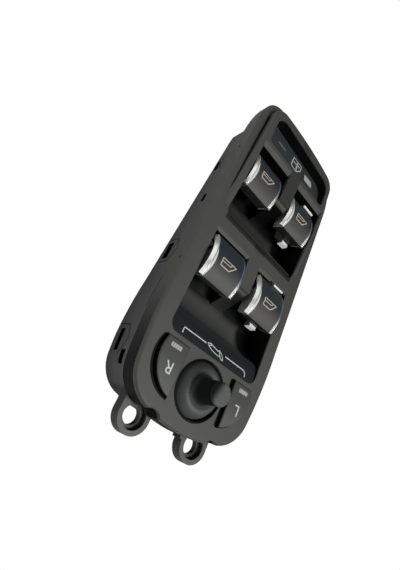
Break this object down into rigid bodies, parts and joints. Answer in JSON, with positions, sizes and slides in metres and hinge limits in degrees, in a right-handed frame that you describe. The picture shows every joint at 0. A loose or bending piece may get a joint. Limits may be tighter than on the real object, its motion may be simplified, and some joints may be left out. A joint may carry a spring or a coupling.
{
  "type": "power window switch",
  "caption": "Driver's door power window switch module with window rockers, child lock button and mirror joystick.",
  "frame": {"origin": "middle of the bounding box's bottom, level with the rear case's back", "axes": "+Z out of the face; +Y along the face from the mirror joystick towards the child lock button; +X across the face"},
  "size_m": [0.0782, 0.2035, 0.05],
  "materials": {
    "face_plastic": "fine grained satin",
    "case_plastic": "satin as moulded",
    "rocker_plastic": "soft gloss",
    "button_plastic": "satin",
    "knob_plastic": "satin",
    "trim_chrome": "bright plated",
    "lens_plastic": "milky",
    "guide_plastic": "milky clear",
    "socket_plastic": "satin",
    "contact_brass": "plated",
    "board_laminate": "lacquered",
    "dome_rubber": "matte",
    "emitter_plastic": "clear",
    "inner_plastic": "natural",
    "screw_steel": "zinc plated"
  },
  "bodies": {
    "housing": {"bezel": "face_plastic", "rear_case": "case_plastic", "case_screws": "screw_steel", "circuit_board": "board_laminate", "connector_header": "socket_plastic", "connector_pins": "contact_brass", "dome_mat_front": "dome_rubber", "dome_mat_rear": "dome_rubber", "leds": "emitter_plastic", "joystick_base": "inner_plastic", "light_guide_front_left": "guide_plastic", "light_guide_front_right": "guide_plastic", "light_guide_rear_left": "guide_plastic", "light_guide_rear_right": "guide_plastic"},
    "rocker_front_left": {"rocker_front_left": "rocker_plastic", "trim_front_left_outer": "trim_chrome", "trim_front_left_inner": "trim_chrome"},
    "rocker_front_right": {"rocker_front_right": "rocker_plastic", "trim_front_right_outer": "trim_chrome", "trim_front_right_inner": "trim_chrome"},
    "rocker_rear_left": {"rocker_rear_left": "rocker_plastic", "trim_rear_left_outer": "trim_chrome", "trim_rear_left_inner": "trim_chrome"},
    "rocker_rear_right": {"rocker_rear_right": "rocker_plastic", "trim_rear_right_outer": "trim_chrome", "trim_rear_right_inner": "trim_chrome"},
    "contacts_front_left": {"contact_slider_front_left": "inner_plastic"},
    "contacts_front_right": {"contact_slider_front_right": "inner_plastic"},
    "contacts_rear_left": {"contact_slider_rear_left": "inner_plastic"},
    "contacts_rear_right": {"contact_slider_rear_right": "inner_plastic"},
    "mirror_button_left": {"mirror_button_left": "button_plastic", "mirror_lens_left": "lens_plastic"},
    "mirror_button_right": {"mirror_button_right": "button_plastic", "mirror_lens_right": "lens_plastic"},
    "child_lock_button": {"child_lock_button": "button_plastic", "child_lock_lens_left": "lens_plastic", "child_lock_lens_right": "lens_plastic"},
    "joystick_gimbal": {"joystick_gimbal": "inner_plastic"},
    "joystick_knob": {"joystick_knob": "knob_plastic"}
  },
  "joints": [
    {"name": "tilt_front_left", "type": "hinge", "parent": "housing", "child": "rocker_front_left", "pos_m": [-0.01745, -0.006, 0.0313], "axis": [1, 0, 0], "range_deg": [-7, 7], "stiffness_Nm_per_rad": 0.3},
    {"name": "tilt_front_right", "type": "hinge", "parent": "housing", "child": "rocker_front_right", "pos_m": [0.01745, -0.006, 0.0313], "axis": [1, 0, 0], "range_deg": [-7, 7], "stiffness_Nm_per_rad": 0.3},
    {"name": "tilt_rear_left", "type": "hinge", "parent": "housing", "child": "rocker_rear_left", "pos_m": [-0.01745, 0.0545, 0.0313], "axis": [1, 0, 0], "range_deg": [-7, 7], "stiffness_Nm_per_rad": 0.3},
    {"name": "tilt_rear_right", "type": "hinge", "parent": "housing", "child": "rocker_rear_right", "pos_m": [0.01745, 0.0545, 0.0313], "axis": [1, 0, 0], "range_deg": [-7, 7], "stiffness_Nm_per_rad": 0.3},
    {"name": "contact_front_left", "type": "slide", "parent": "housing", "child": "contacts_front_left", "axis": [0, 1, 0], "range_m": [-0.0016, 0.0016]},
    {"name": "contact_front_right", "type": "slide", "parent": "housing", "child": "contacts_front_right", "axis": [0, 1, 0], "range_m": [-0.0016, 0.0016]},
    {"name": "contact_rear_left", "type": "slide", "parent": "housing", "child": "contacts_rear_left", "axis": [0, 1, 0], "range_m": [-0.0016, 0.0016]},
    {"name": "contact_rear_right", "type": "slide", "parent": "housing", "child": "contacts_rear_right", "axis": [0, 1, 0], "range_m": [-0.0016, 0.0016]},
    {"name": "press_mirror_left", "type": "slide", "parent": "housing", "child": "mirror_button_left", "axis": [0, 0, -1], "range_m": [0, 0.001], "stiffness_N_per_m": 400},
    {"name": "press_mirror_right", "type": "slide", "parent": "housing", "child": "mirror_button_right", "axis": [0, 0, -1], "range_m": [0, 0.001], "stiffness_N_per_m": 400},
    {"name": "press_child_lock", "type": "slide", "parent": "housing", "child": "child_lock_button", "axis": [0, 0, -1], "range_m": [0, 0.0015], "stiffness_N_per_m": 500},
    {"name": "joystick_pitch", "type": "hinge", "parent": "housing", "child": "joystick_gimbal", "pos_m": [0, -0.0711, 0.0273], "axis": [1, 0, 0], "range_deg": [-7, 7], "stiffness_Nm_per_rad": 0.3},
    {"name": "joystick_roll", "type": "hinge", "parent": "joystick_gimbal", "child": "joystick_knob", "pos_m": [0, -0.0711, 0.0273], "axis": [0, 1, 0], "range_deg": [-7, 7], "stiffness_Nm_per_rad": 0.3}
  ],
  "couplings": [
    {"joint": "contact_front_left", "follows": "tilt_front_left", "m_per_rad": 0.0128},
    {"joint": "contact_front_right", "follows": "tilt_front_right", "m_per_rad": 0.0128},
    {"joint": "contact_rear_left", "follows": "tilt_rear_left", "m_per_rad": 0.0128},
    {"joint": "contact_rear_right", "follows": "tilt_rear_right", "m_per_rad": 0.0128}
  ]
}
